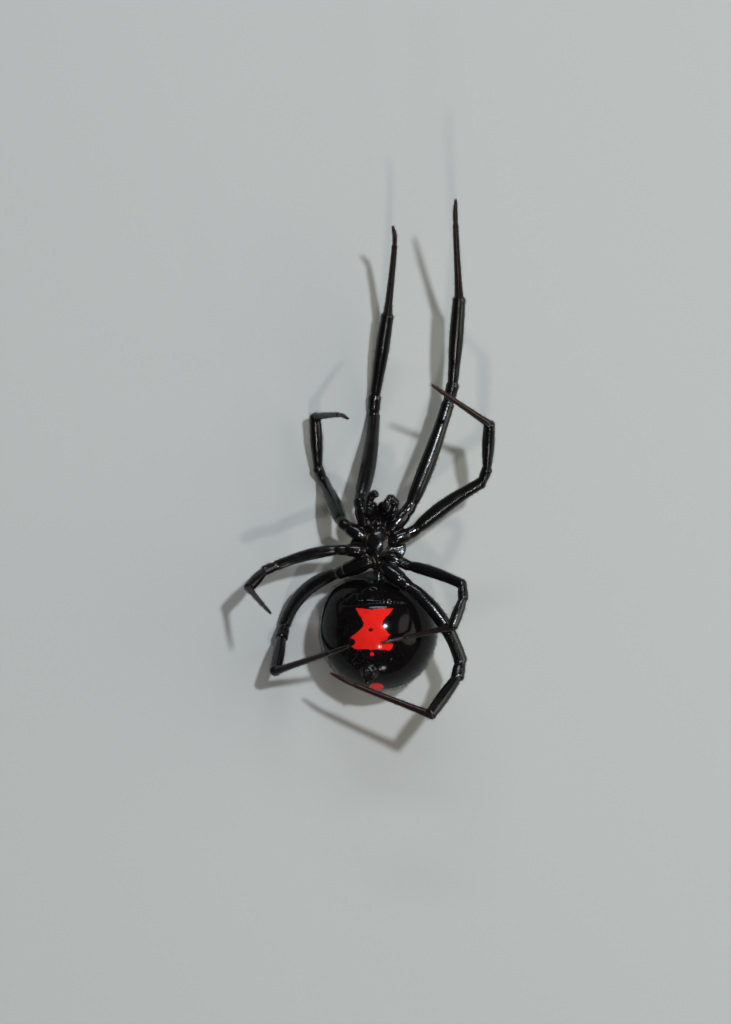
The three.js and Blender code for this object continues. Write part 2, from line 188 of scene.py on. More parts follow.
# %% Leg sizes: lengths, and radii from the near end to the far end
SEGMENTS = ["femur", "patella", "tibia", "metatarsus", "tarsus"]
PAIRS = {
    1: {
        "lengths": [7.15, 1.3, 5.65, 6.0, 2.0],
        "coxa": [0.38, 0.49, 0.52, 0.48], "trochanter": [0.41, 0.44, 0.43],
        "femur": [0.38, 0.5, 0.53, 0.5, 0.44, 0.43],
        "patella": [0.36, 0.41, 0.42],
        "tibia": [0.35, 0.38, 0.44, 0.47, 0.45, 0.41],
        "metatarsus": [0.31, 0.25, 0.23, 0.21, 0.2, 0.19],
        "tarsus": [0.16, 0.17, 0.15, 0.11],
    },
    2: {
        "lengths": [5.4, 1.05, 3.5, 3.9, 1.5],
        "coxa": [0.36, 0.46, 0.48, 0.44], "trochanter": [0.37, 0.4, 0.39],
        "femur": [0.35, 0.47, 0.51, 0.47, 0.4, 0.38],
        "patella": [0.31, 0.35, 0.35],
        "tibia": [0.3, 0.34, 0.4, 0.42, 0.4, 0.36],
        "metatarsus": [0.27, 0.22, 0.21, 0.19, 0.18, 0.17],
        "tarsus": [0.14, 0.15, 0.13, 0.1],
    },
    3: {
        "lengths": [4.3, 0.95, 2.0, 3.15, 1.4],
        "coxa": [0.34, 0.42, 0.44, 0.41], "trochanter": [0.34, 0.36, 0.35],
        "femur": [0.3, 0.37, 0.39, 0.37, 0.34, 0.34],
        "patella": [0.29, 0.34, 0.33],
        "tibia": [0.28, 0.32, 0.36, 0.37, 0.36, 0.33],
        "metatarsus": [0.25, 0.2, 0.18, 0.17, 0.16, 0.15],
        "tarsus": [0.13, 0.14, 0.12, 0.09],
    },
    4: {
        "lengths": [6.4, 1.2, 3.6, 5.2, 1.8],
        "coxa": [0.38, 0.51, 0.54, 0.5], "trochanter": [0.41, 0.45, 0.42],
        "femur": [0.35, 0.44, 0.47, 0.46, 0.42, 0.43],
        "patella": [0.36, 0.42, 0.42],
        "tibia": [0.33, 0.37, 0.41, 0.42, 0.4, 0.37],
        "metatarsus": [0.28, 0.23, 0.21, 0.2, 0.19, 0.18],
        "tarsus": [0.15, 0.16, 0.14, 0.1],
    },
}
print("lengths by pair, from the hip:", {pair: round(sum(PAIRS[pair]["lengths"]), 2) for pair in PAIRS})

# %% Leg poses: pair, root, hip, bow of the femur, then heading and rise of each segment
LEGS = {
    "left_1": (1, [0.8, 6.65, 5.2], [2.0, 8.0, 4.75], [0.1, -0.03, 0],
               [[69.8, -4], [75.3, 7], [85.9, 12.7], [93.5, 39.7], [90.8, 41.7]]),
    "left_2": (2, [0.85, 5.88, 5.25], [2.28, 6.53, 4.95], [-0.09, 0.13, 0],
               [[35.8, 7], [68, 29], [87.9, 34.6], [146.7, 34.7], [146.1, 37.9]]),
    "left_3": (3, [0.62, 4.98, 5.4], [1.84, 4.36, 5.35], [0.02, 0.12, 0],
               [[-18.9, 30], [-86.6, 20], [-110.9, 14], [-167.2, -10], [-167.6, 2]]),
    "left_4": (4, [0.28, 4.35, 5.6], [1.77, 3.16, 6.2], [0.42, 0.3, 0.25],
               [[-54.5, 2], [-101.2, 27.5], [-126.9, 35.8], [159, -12], [154.6, -18]]),
    "right_1": (1, [-0.8, 6.95, 5.15], [-1.22, 8.43, 4.75], [0.17, 0, 0],
                [[80.7, -38], [86.7, 16.5], [81.1, 19.6], [84.2, 43.3], [94.5, 55.1]]),
    "right_2": (2, [-0.95, 6.18, 5.2], [-2.28, 7.01, 4.71], [0, 0, 0.1],
                [[115, -54.7], [112.4, 36.8], [93.2, 15.4], [2, 66.6], [-23.3, 65.5]]),
    "right_3": (3, [-0.92, 5.28, 5.35], [-2.44, 5.37, 5.2], [0.04, 0.19, 0],
                [[-165.9, -10.2], [-157.7, 25.6], [-132.7, 40.9], [-46.5, 62.6], [-44.9, 61.2]]),
    "right_4": (4, [-0.55, 4.6, 5.5], [-2.45, 3.92, 4.36], [-0.44, 0.47, 0],
                [[-136.8, -38.6], [-102.8, 40], [-99.8, 53.9], [19.8, 45.6], [19.8, 40.8]]),
}
FEMUR_LENGTHS = {"left_4": 6.03}


def direction(heading, rise):
    turn, tilt = math.radians(heading), math.radians(rise)
    return np.array([math.cos(tilt) * math.cos(turn), math.cos(tilt) * math.sin(turn), math.sin(tilt)])


def leg_joints(name):
    """The hip and the far ends of the five segments, in millimetres."""
    pair, _, hip, _, turns = LEGS[name]
    lengths = list(PAIRS[pair]["lengths"])
    lengths[0] = FEMUR_LENGTHS.get(name, lengths[0])
    joints = [np.array(hip)]
    for (heading, rise), length in zip(turns, lengths):
        joints.append(joints[-1] + length * direction(heading, rise))
    return joints


print("the foot of the first left leg ends at", leg_joints("left_1")[-1].round(2))

# %% [markdown]
# ## Rods: the segments of the legs
#
# A spider's leg segment is a hard tube. Its near end is a narrow neck in the cup of the segment
# before it, and its far end is a wide shoulder with a rounded lip. A curve object with a bevel
# gives a tube, but its taper is a second curve that is hard to read. Here a row of radii is read
# along the path, and rings are set square to it.

# %% Along a path
def hump(distance, width):
    """A soft hump that is 1 at a distance of 0 and all but gone at twice its width."""
    return np.exp(-((distance / width) ** 2))


def read_row(row, fraction):
    """Reads evenly spaced values with soft steps between them."""
    place = np.clip(fraction, 0, 1) * (len(row) - 1)
    index = np.minimum(place.astype(int), len(row) - 2)
    part = place - index
    part = part * part * (3 - 2 * part) * 0.5 + part * 0.5
    values = np.array(row, float)
    return values[index] * (1 - part) + values[index + 1] * part


def frames_along(path):
    """Unit vectors along, across and up at every point of a path, turned as little as can be."""
    forward = unit(np.gradient(path, axis=0))
    up = np.array([0, 0, 1.0]) if abs(forward[0][2]) < 0.9 else np.array([0, 1.0, 0])
    ups = []
    for line in forward:
        up = unit(up - line * up.dot(line))
        ups.append(up)
    return forward, np.cross(forward, ups), np.array(ups)


def reach_along(path):
    """How far along a path each of its points lies."""
    return np.concatenate([[0], np.cumsum(np.linalg.norm(np.diff(path, axis=0), axis=1))])


# %% A rod and its mesh
ROD_SIDES = 28
CAP_RINGS = 4
CAP_HEIGHT = 0.6


class Rod:
    """A tube along a path. Its neck is a distance from its near end, or None."""

    def __init__(self, name, path, radii, neck=None):
        self.name = name
        self.path = path
        self.radii = radii
        self.neck = neck
        self.reach = reach_along(path)
        self.forward, self.across, self.up = frames_along(path)

    def mesh(self, sides=ROD_SIDES, cap=CAP_RINGS):
        """Rings of points along the path and a blunt round cap on both ends."""
        near, far, last = self.radii[0], self.radii[-1], len(self.radii) - 1
        bends = [math.pi / 2 * i / (cap + 0.5) for i in range(1, cap + 1)]
        rings = [(0, -CAP_HEIGHT * near * math.sin(a), near * math.cos(a)) for a in reversed(bends)]
        rings += [(i, 0.0, radius) for i, radius in enumerate(self.radii)]
        rings += [(last, CAP_HEIGHT * far * math.sin(a), far * math.cos(a)) for a in bends]
        turns = np.arange(sides)[:, None] * 2 * math.pi / sides
        verts = np.concatenate([
            self.path[i] + self.forward[i] * beyond
            + radius * (np.cos(turns) * self.across[i] + np.sin(turns) * self.up[i])
            for i, beyond, radius in rings
        ])
        faces = []
        for ring in range(len(rings) - 1):
            a = ring * sides
            for i in range(sides):
                j = (i + 1) % sides
                faces.append((a + i, a + j, a + sides + j, a + sides + i))
        faces.append(tuple(range(sides - 1, -1, -1)))
        top = (len(rings) - 1) * sides
        faces.append(tuple(range(top, top + sides)))
        return verts, faces


# %% Paths between places
REACH_STEP = 0.07
FEWEST_STEPS = 4


def steps(a, b):
    """How many points a path from a to b gets."""
    return max(FEWEST_STEPS, round(np.linalg.norm(b - a) / REACH_STEP))


def straight(a, b):
    a, b = np.array(a, float), np.array(b, float)
    return a + (b - a) * np.linspace(0, 1, steps(a, b))[:, None]


def bowed(a, b, bow):
    """A path whose middle stands out of its chord by a bow."""
    path = straight(a, b)
    t = np.linspace(0, 1, len(path))[:, None]
    return path + 4 * t * (1 - t) * np.array(bow, float)


def through(points):
    """A smooth path through a few points."""
    points = [np.array(p, float) for p in points]
    ends = [2 * points[0] - points[1], *points, 2 * points[-1] - points[-2]]
    path = []
    for a, b, c, d in zip(ends, ends[1:], ends[2:], ends[3:]):
        for t in np.linspace(0, 1, steps(b, c), endpoint=False):
            path.append(0.5 * (2 * b + (c - a) * t + (2 * a - 5 * b + 4 * c - d) * t**2
                               + (3 * b - a - 3 * c + d) * t**3))
    path.append(points[-1])
    return np.array(path)


# %% A segment with its neck and shoulder
NECK_LENGTH = 0.11
NECK_DEPTH = 0.07
SHOULDER_LENGTH = 0.16
SHOULDER_RISE = 0.04


def segment_rod(name, path, row, cup=0.0, neck_depth=NECK_DEPTH, shoulder=SHOULDER_RISE):
    """A leg segment: a neck where it leaves the cup of the one before it, and a shoulder."""
    reach = reach_along(path)
    radii = read_row(row, reach / reach[-1])
    radii = radii * (1 - neck_depth * hump(reach - cup, NECK_LENGTH))
    radii = radii * (1 + shoulder * hump(reach[-1] - reach, SHOULDER_LENGTH))
    return Rod(name, path, radii, cup)


# %% The rods of the eight legs
TROCHANTER_LENGTH = 0.55
TROCHANTER_OVERLAP = 0.1
CUP_DEPTHS = {"patella": 0.55}
CUP_DEPTH = 0.85
NECK_DEPTHS = {"metatarsus": 0.0, "tarsus": 0.12}
rods = []
for leg, (pair, root, hip, bow, _) in LEGS.items():
    joints = leg_joints(leg)
    rows = PAIRS[pair]
    root, hip = np.array(root), np.array(hip)
    trochanter = hip - unit(hip - root) * TROCHANTER_LENGTH
    past_hip = hip + unit(joints[1] - hip) * TROCHANTER_OVERLAP
    rods.append(segment_rod(f"{leg}_coxa", straight(root, trochanter), rows["coxa"], shoulder=0.02))
    rods.append(segment_rod(f"{leg}_trochanter", straight(trochanter, past_hip),
                            rows["trochanter"], cup=0.3, neck_depth=0.03, shoulder=0.0))
    paths = [bowed(joints[0], joints[1], bow), straight(joints[1], joints[2]),
             straight(joints[2], joints[3])]
    foot_path = through(joints[3:])
    heel = int(np.argmin(np.linalg.norm(foot_path - joints[4], axis=1)))
    paths += [foot_path[: heel + 1], foot_path[heel:]]
    cup = rows["trochanter"][-1]
    for segment, path in zip(SEGMENTS, paths):
        row = rows[segment]
        depth = NECK_DEPTHS.get(segment, NECK_DEPTH)
        rods.append(segment_rod(f"{leg}_{segment}", path, row, cup, depth))
        cup = row[-1] * CUP_DEPTHS.get(segment, CUP_DEPTH)
print(len(rods), "rods in the legs")

# %% [markdown]
# ## Globes: abdomen, prosoma and the small plates
#
# Each round form starts as a ball of many faces whose points are pushed by a rule: the shield
# of the prosoma is widest behind its middle, the breast plate tapers like a heart towards the
# waist. Sculpting by hand would look alike, but it could not be repeated by a script.

# %% Balls
def ball(sides=96, rings=64):
    """Points and faces of a unit ball with its poles on Z."""
    verts = [(0, 0, 1.0)]
    for i in range(1, rings):
        a = math.pi * i / rings
        for j in range(sides):
            b = 2 * math.pi * j / sides
            verts.append((math.sin(a) * math.cos(b), math.sin(a) * math.sin(b), math.cos(a)))
    verts.append((0, 0, -1.0))
    faces = [(0, 1 + j, 1 + (j + 1) % sides) for j in range(sides)]
    for i in range(rings - 2):
        a, b = 1 + i * sides, 1 + (i + 1) * sides
        faces += [(a + j, b + j, b + (j + 1) % sides, a + (j + 1) % sides) for j in range(sides)]
    a = 1 + (rings - 2) * sides
    faces += [(a + (j + 1) % sides, a + j, len(verts) - 1) for j in range(sides)]
    return np.array(verts), faces


# %% Shield, breast plate and mouth
def egg(centre, half_sizes):
    """A small egg that stands on the prosoma."""
    verts, faces = ball(40, 28)
    return from_prosoma(verts * half_sizes + np.array(centre)), faces


SHIELD_WIDTHS = [1.7, 1.85, 1.95, 1.9, 1.7, 1.42, 1.28, 1.35, 1.7]
SHIELD_DEPTHS = [0.6, 0.6, 0.62, 0.65, 0.72, 0.86, 0.98, 1.04, 1.06]
SHIELD_UNDERSIDE = 0.14


def on_shield(points):
    """Pushes points of a unit ball onto the shield of the prosoma, back side down."""
    fraction = (points[..., 1] + 1) / 2
    depth = np.where(points[..., 2] < 0, read_row(SHIELD_DEPTHS, fraction), SHIELD_UNDERSIDE)
    width = read_row(SHIELD_WIDTHS, fraction)
    return np.stack([points[..., 0] * width, points[..., 1] * PROSOMA_HALF, points[..., 2] * depth], -1)


verts, faces = ball()
shield = (from_prosoma(on_shield(verts)), faces)

verts, faces = ball(72, 48)
heart = verts * [0.95, 1.25, 0.6] + [0, -0.25, 0.1]
heart[:, 0] *= 1 - 0.32 * np.clip(-heart[:, 1], 0, None)
breast_plate = (from_prosoma(heart), faces)
lip = egg([0, 1.05, 0.32], [0.27, 0.3, 0.34])
mouth_plates = [egg([side * 0.42, 1.2, 0.3], [0.27, 0.44, 0.35]) for side in (-1, 1)]
print("points in the shield", len(shield[0]), "and in the breast plate", len(breast_plate[0]))

# %% The globe of the abdomen
SWELLINGS = [((-0.05, 0.93, -0.36), 0.32, 0.5), ((-0.72, 0.69, 0.05), 0.26, 0.4)]


def globe_radius(directions):
    """The globe is a ball that swells forward on its back, and a little at one shoulder."""
    radius = np.full(directions.shape[:-1], ABDOMEN_RADIUS)
    for axis, height, width in SWELLINGS:
        off = np.arccos(np.clip(directions @ unit(axis), -1, 1))
        radius += height * hump(off, width)
    return radius


verts, faces = ball(160, 110)
globe = (verts * globe_radius(verts)[:, None] + ABDOMEN_CENTRE, faces)
print("points in the globe", len(verts))

# %% [markdown]
# ## The small rods of head, waist and tail
#
# Jaws and palps sit under the head. A palp is a short leg that is bent back at its knee, and four
# of its segments are made. The pedicel is the narrow waist. Six spinnerets stand close together
# near the tail, on a low collar and in front of a small knob. All of them are rods like those of
# the legs, because one class can then give every path its rings and its caps.

# %% Jaws and palps
small_rods = []
for name, side in (("left", 1), ("right", -1)):
    start = from_prosoma([side * 0.36, 1.25, 0.05])
    end = from_prosoma([side * 0.32, 2.2, 0.8])
    path = bowed(start, end, from_prosoma([0, 0.06, -0.05]) - PROSOMA_CENTRE)
    small_rods.append(segment_rod(f"chelicera_{name}", path, [0.3, 0.34, 0.33, 0.26], neck_depth=0))

PALPS = {
    "left": [[0.4, 7.3, 5.1], [0.92, 7.75, 5.72], [1.03, 8.38, 5.95], [0.8, 8.64, 6.15],
             [0.54, 8.4, 6.32], [0.56, 7.95, 6.35]],
    "right": [[-0.42, 7.35, 5.05], [-0.6, 7.9, 5.8], [-0.58, 8.54, 6.0], [-0.32, 8.98, 6.15],
              [-0.1, 8.82, 6.45]],
}
PALP_CUTS = [("femur", 0.0, 0.42, [0.24, 0.28, 0.27]), ("patella", 0.42, 0.58, [0.25, 0.29, 0.28]),
             ("tibia", 0.58, 0.76, [0.25, 0.28, 0.26]), ("tarsus", 0.76, 1.0, [0.23, 0.25, 0.22, 0.12])]
PALP_CUP = 0.12
for name, places in PALPS.items():
    path = through(places)
    for part, first, last, row in PALP_CUTS:
        piece = path[round(first * (len(path) - 1)): round(last * (len(path) - 1)) + 1]
        cup = PALP_CUP if first else 0.0
        small_rods.append(segment_rod(f"palp_{name}_{part}", piece, row, cup, neck_depth=0.2))
print(len(small_rods), "rods in jaws and palps")

# %% Waist and spinnerets
PEDICEL_RADIUS = 0.33
pedicel_path = straight([-0.03, 4.75, 5.1], [0, 2.9, 5.2])
small_rods.append(Rod("pedicel", pedicel_path, np.full(len(pedicel_path), PEDICEL_RADIUS)))

SPINNERET_LINE = unit([-0.15, -0.655, 0.74])
SPINNERET_SIDE = unit(np.cross([0, 0, 1.0], SPINNERET_LINE))
SPINNERET_UP = np.cross(SPINNERET_LINE, SPINNERET_SIDE)
SPINNERETS = [(0.34, 45, 0.19, 0.62), (0.34, 135, 0.19, 0.62), (0.34, 225, 0.17, 0.55),
              (0.34, 315, 0.17, 0.55), (0.12, 0, 0.12, 0.42), (0.12, 180, 0.12, 0.42)]


def near_spinnerets(ring, turn, height):
    """A place in the ring of spinnerets, at a height over the globe."""
    angle = math.radians(turn)
    foot = ABDOMEN_CENTRE + SPINNERET_LINE * (ABDOMEN_RADIUS + height)
    return foot + ring * (math.cos(angle) * SPINNERET_SIDE + math.sin(angle) * SPINNERET_UP)


collar_path = straight(near_spinnerets(0, 0, -0.4), near_spinnerets(0, 0, 0.1))
small_rods.append(Rod("collar", collar_path, np.linspace(0.66, 0.56, len(collar_path))))
for index, (ring, turn, radius, length) in enumerate(SPINNERETS):
    path = bowed(near_spinnerets(ring, turn, -0.2), near_spinnerets(ring * 0.8, turn, length - 0.08),
                 near_spinnerets(0.06, turn, 0) - near_spinnerets(0, turn, 0))
    row = [radius, radius, radius * 0.95, radius * 0.6]
    small_rods.append(segment_rod(f"spinneret_{index}", path, row, cup=0.35, neck_depth=0.15))
tubercle_path = straight(near_spinnerets(0.78, 270, -0.15), near_spinnerets(0.84, 270, 0.2))
small_rods.append(Rod("tubercle", tubercle_path, np.linspace(0.24, 0.13, len(tubercle_path))))
print(len(small_rods), "small rods in all")

# %% [markdown]
# ## One skin over everything
#
# The shell of the spider has no seams where the pieces meet, only creases. A boolean union would
# leave hard, thin lines there. A voxel remesh melts all the closed forms into one even mesh, and
# a few rounds of smoothing round off its steps. The price is one size of face all over.

# %% Melt the pieces together
VOXEL = 0.056
SMOOTH_ROUNDS = 6


def joined_mesh(name, pieces):
    """One mesh of several lists of points and faces."""
    verts, faces, start = [], [], 0
    for points, polygons in pieces:
        verts.append(points)
        faces += [tuple(i + start for i in polygon) for polygon in polygons]
        start += len(points)
    mesh = bpy.data.meshes.new(name)
    mesh.from_pydata(np.concatenate(verts).tolist(), [], faces)
    return mesh


forms = [globe, shield, breast_plate, lip, *mouth_plates] + [rod.mesh() for rod in rods + small_rods]
raw = placed("raw", joined_mesh("raw", forms))
remesh = raw.modifiers.new("remesh", "REMESH")
remesh.mode = "VOXEL"
remesh.voxel_size = VOXEL
smooth = raw.modifiers.new("smooth", "SMOOTH")
smooth.factor = 0.5
smooth.iterations = SMOOTH_ROUNDS
evaluated = raw.evaluated_get(bpy.context.evaluated_depsgraph_get())
skin_mesh = bpy.data.meshes.new_from_object(evaluated)
bpy.data.objects.remove(raw)
skin_mesh.name = "spider_skin"
print("the skin has", len(skin_mesh.vertices), "points and", len(skin_mesh.polygons), "faces")

# %% [markdown]
# ## Which part a point belongs to
#
# The marks, the colour of the feet and the fine relief all need to know where a point of the
# skin is: on the globe, on the prosoma, or how far along which rod. The form whose surface lies
# closest is taken. Vertex groups painted by hand would do, but they are lost when a size changes.

# %% Read a mesh
def read_all(elements, name, kind, width):
    """One property of all elements of a mesh, in rows of a width."""
    flat = np.empty(len(elements) * width, kind)
    elements.foreach_get(name, flat)
    return flat.reshape(-1, width)


def vectors_of(elements, name):
    return read_all(elements, name, np.float32, 3).astype(float)


# %% Regions
ABDOMEN, PROSOMA, FIRST_ROD = 0, 1, 2
FIRST_SMALL_ROD = FIRST_ROD + len(rods)
SHIELD_HALF_SIZES = [1.8, PROSOMA_HALF, 1.0]
SHIELD_MEAN_HALF = 1.2
WAIST_Y = 3.6
REGION_MARGIN = 0.12
CLEARLY_NEARER = 0.004
points = vectors_of(skin_mesh.vertices, "co")
all_rods = rods + small_rods
from_globe = points - ABDOMEN_CENTRE
globe_reach = np.linalg.norm(from_globe, axis=1)
nearest = np.abs(globe_reach - globe_radius(from_globe / globe_reach[:, None]))
region = np.full(len(points), ABDOMEN)
off_shield = np.abs(np.linalg.norm(to_prosoma(points) / SHIELD_HALF_SIZES, axis=1) - 1) * SHIELD_MEAN_HALF
in_prosoma = (off_shield < nearest) & (points[:, 1] > WAIST_Y)
nearest = np.where(in_prosoma, np.minimum(REGION_MARGIN, off_shield), nearest)
region[in_prosoma] = PROSOMA
along = np.zeros(len(points))
around = np.zeros(len(points))
lie = np.tile([0.0, -1.0, 0.0], (len(points), 1))
lie[in_prosoma] = [0.0, 1.0, 0.0]
for number, rod in enumerate(all_rods):
    margin = rod.radii.max() + REGION_MARGIN
    low, high = rod.path.min(0) - margin, rod.path.max(0) + margin
    box = np.flatnonzero(((points > low) & (points < high)).all(1))
    gaps = np.linalg.norm(points[box][:, None] - rod.path[None], axis=2)
    off = np.abs(gaps - rod.radii[None])
    best = gaps.argmin(1)
    distance = off[np.arange(len(box)), best]
    better = distance < nearest[box] - CLEARLY_NEARER
    chosen, best = box[better], best[better]
    nearest[chosen] = distance[better]
    region[chosen] = FIRST_ROD + number
    along[chosen] = rod.reach[best]
    lie[chosen] = rod.forward[best]
    away = points[chosen] - rod.path[best]
    around[chosen] = np.arctan2((away * rod.up[best]).sum(1), (away * rod.across[best]).sum(1))
print("points on the globe and on the prosoma", np.bincount(region)[:FIRST_ROD])

# %% [markdown]
# ## The red marks
#
# The hourglass is two flared halves with a waist. Its outline is a list of corners, and every
# point of the skin gets its distance to that outline, positive inside. A sharp step in the
# material then draws an edge far finer than the faces are. An image would need an unwrap.

# %% Corners and sizes of the marks
HOURGLASS = [
    (-1.47, 1.62), (-0.9, 1.60), (-0.42, 1.52), (-0.1, 1.60), (0.4, 1.62), (0.93, 1.60),
    (0.72, 1.27), (0.44, 1.02), (0.26, 0.74), (0.22, 0.58), (0.44, 0.26), (0.62, 0.02),
    (0.76, -0.04), (0.58, -0.26), (0.6, -0.42), (0.93, -0.66), (0.88, -0.9), (0.68, -1.1),
    (0.28, -1.03), (-0.12, -1.0), (-0.5, -1.06), (-0.76, -0.98), (-1.28, -1.02), (-1.6, -0.94),
    (-1.73, -0.82), (-1.48, -0.62), (-1.52, -0.4), (-1.84, -0.27), (-1.52, -0.02), (-1.3, 0.14),
    (-1.12, 0.3), (-0.96, 0.5), (-0.96, 0.68), (-1.08, 0.95), (-1.28, 1.28),
]
SMALL_DOT = (-0.42, -1.33, 0.13)
# The pit is a shallow dimple of the relief; the hourglass also gets a black hole there, which is painted
# shade of the pit.
PIT_WITH_PAINTED_SHADE = (-0.5, 0.25, 0.15)
PIT_SHADE_FLATTENING = 1.4
SPOT_TILT = math.radians(66.5)
SPOT_ROLL = math.radians(-4)
SPOT_HALF_X, SPOT_HALF_SIDE = 0.46, 0.6
SPOT_MEAN_HALF = 0.5
print("the hourglass has", len(HOURGLASS), "corners")

# %% Distance to the edge of a mark
def outline_distance(x, y, outline):
    """Distance to a closed outline, positive inside."""
    corners = np.array(outline)
    best = np.full(len(x), 1e9)
    crossings = np.zeros(len(x), int)
    for (ax, ay), (bx, by) in zip(corners, np.roll(corners, -1, axis=0)):
        dx, dy = bx - ax, by - ay
        t = np.clip(((x - ax) * dx + (y - ay) * dy) / (dx * dx + dy * dy), 0, 1)
        best = np.minimum(best, np.hypot(x - ax - t * dx, y - ay - t * dy))
        crosses = (ay > y) != (by > y)
        at = ax + (y - ay) * dx / np.where(dy == 0, 1e-9, dy)
        crossings += crosses & (x < at)
    return np.where(crossings % 2 == 1, best, -best)


def mark_distance(places):
    """How far inside a red mark a place of the abdomen is."""
    x, y = places[:, 0], places[:, 1]
    height = places[:, 2] - ABDOMEN_CENTRE[2]
    hourglass = outline_distance(x, y, HOURGLASS)
    # A black hole in the red at the pit: painted shade.
    hourglass = np.minimum(hourglass, np.hypot(x - PIT_WITH_PAINTED_SHADE[0], (y - PIT_WITH_PAINTED_SHADE[1]) * PIT_SHADE_FLATTENING) - PIT_WITH_PAINTED_SHADE[2])
    dot = SMALL_DOT[2] - np.hypot(x - SMALL_DOT[0], y - SMALL_DOT[1])
    hourglass = np.where(height > 0, np.maximum(hourglass, dot), -1)
    level_x, level_z = turned(x, height, SPOT_ROLL)
    side, out = turned(y, level_z, -SPOT_TILT)
    spot = (1 - np.hypot(level_x / SPOT_HALF_X, side / SPOT_HALF_SIDE)) * SPOT_MEAN_HALF
    return np.clip(np.maximum(hourglass, np.where(out > 0, spot, -1)), -1, 1)


mark = np.where(region == ABDOMEN, mark_distance(points), -1.0)
print("points inside the marks", int((mark > 0).sum()))

# %% [markdown]
# ## Fine relief
#
# The globe is tight and smooth, but not plain: a raised plate with a dark slit behind the waist,
# a furrow across the belly behind it with small folds, two smooth covers over the lungs, and
# paired dimples where muscles hold on. They are bumps and grooves of a few hundredths to a sixth
# of a millimetre along the normal. A displacement texture could not place them one by one.

# %% Relief of the abdomen
PLATE = unit([-0.09, 0.77, 0.63])
PLATE_RISE, PLATE_WIDTH = 0.16, 0.55
MIDLINE_X = -0.2
SLIT_DEPTH = 0.09
FURROW_Y, FURROW_HALF = 1.86, 1.9
FURROW_DEPTH, FURROW_WIDTH = 0.07, 0.09
FOLD_HEIGHT, FOLDED_WIDTH = 0.02, 0.24
COVER_RISE = 0.045
DIMPLE_WIDTH = 0.13
DIMPLES = [(PIT_WITH_PAINTED_SHADE[0], PIT_WITH_PAINTED_SHADE[1], 0.025), (-1.35, -1.75, 0.05), (0.75, -1.75, 0.05)]
BACK_DIMPLE_DEPTH = 0.05
BACK_DIMPLES = [(0.75, 1.6, 0.2), (0.87, 0.5, 0.24), (0.99, -0.6, 0.18)]


def below(distance, sharpness):
    """Close to 1 below a distance of 0, and close to 0 above it."""
    return 1 / (1 + np.exp(distance * sharpness))


def abdomen_relief(places):
    """How far a place of the globe is raised or sunk."""
    d = unit(places - ABDOMEN_CENTRE)
    x, y = d[:, 0] * ABDOMEN_RADIUS, d[:, 1] * ABDOMEN_RADIUS
    belly = d[:, 2] > 0
    off = np.arccos(np.clip(d @ PLATE, -1, 1)) * ABDOMEN_RADIUS
    relief = PLATE_RISE * hump(off, PLATE_WIDTH)
    slit = np.hypot((x + 0.34) / 0.24, (y - 2.72) / 0.11)
    relief -= SLIT_DEPTH * hump(slit, 1) * belly
    furrow = y - (FURROW_Y + 0.1 * np.cos(x * 0.9))
    reach = below(np.abs(x - MIDLINE_X) - FURROW_HALF, 6)
    relief -= FURROW_DEPTH * hump(furrow, FURROW_WIDTH) * reach * belly
    folds = np.sin(x * 8.3 + 1.9 * np.sin(x * 3.7 + y * 2)) + 0.6 * np.sin(x * 17 + 2.4 * np.sin(x * 5.3))
    relief += FOLD_HEIGHT * folds * hump(furrow - FOLDED_WIDTH, FOLDED_WIDTH) * reach * belly
    for side in (-1, 1):
        cover = np.hypot((x - MIDLINE_X - side * 1.35) / 0.62, (y - 2.3) / 0.36)
        relief += COVER_RISE * below(cover - 1, 9) * belly
        for off_middle, row_y, width in BACK_DIMPLES:
            away = np.hypot(x - side * off_middle, y - row_y)
            relief -= BACK_DIMPLE_DEPTH * hump(away, width) * (d[:, 2] < 0)
    for dimple_x, dimple_y, depth in DIMPLES:
        relief -= depth * hump(np.hypot(x - dimple_x, y - dimple_y), DIMPLE_WIDTH) * belly
    return relief


# %% Relief of the prosoma
BACK_PIT_Y, BACK_PIT_DEPTH = -0.25, 0.13
NECK_FURROW_DEPTH = 0.06
RAY_DEPTH = 0.035
UNEVENNESS = 0.014
RIM_RISE = 0.03
LEAST_HEIGHT = 0.004


def prosoma_relief(places):
    """A pit, two neck furrows and faint rays on the back, and a rim around the shield."""
    p = to_prosoma(places)
    x, y, z = p[:, 0], p[:, 1], p[:, 2]
    back = below(z, 12)
    from_pit = y - BACK_PIT_Y
    relief = -BACK_PIT_DEPTH * hump(x, 0.3) * hump(from_pit, 0.26) * back
    neck = np.abs(x) - (0.25 + 0.72 * (y + 0.1))
    relief -= NECK_FURROW_DEPTH * hump(neck, 0.12) * (y > -0.15) * (y < 1.1) * back
    rays = hump(np.sin(np.arctan2(from_pit, x) * 4 + 0.5), 0.35)
    relief -= RAY_DEPTH * rays * hump(np.hypot(x, from_pit) - 0.85, 0.4) * (y < 0.4) * back
    relief += UNEVENNESS * np.sin(x * 7 + 3) * np.sin(y * 6 + x * 2) * (z > 0.2)
    relief += RIM_RISE * hump(z + 0.02, 0.1) * (np.abs(x) > 0.9)
    return relief


shift = np.zeros(len(points))
on_globe = region == ABDOMEN
shift[on_globe] = abdomen_relief(points[on_globe])
on_prosoma = region == PROSOMA
shift[on_prosoma] = prosoma_relief(points[on_prosoma])
points = points + vectors_of(skin_mesh.vertex_normals, "vector") * shift[:, None]
points[:, 2] = np.maximum(points[:, 2], LEAST_HEIGHT)
print("relief from", shift.min().round(3), "to", shift.max().round(3), "mm")
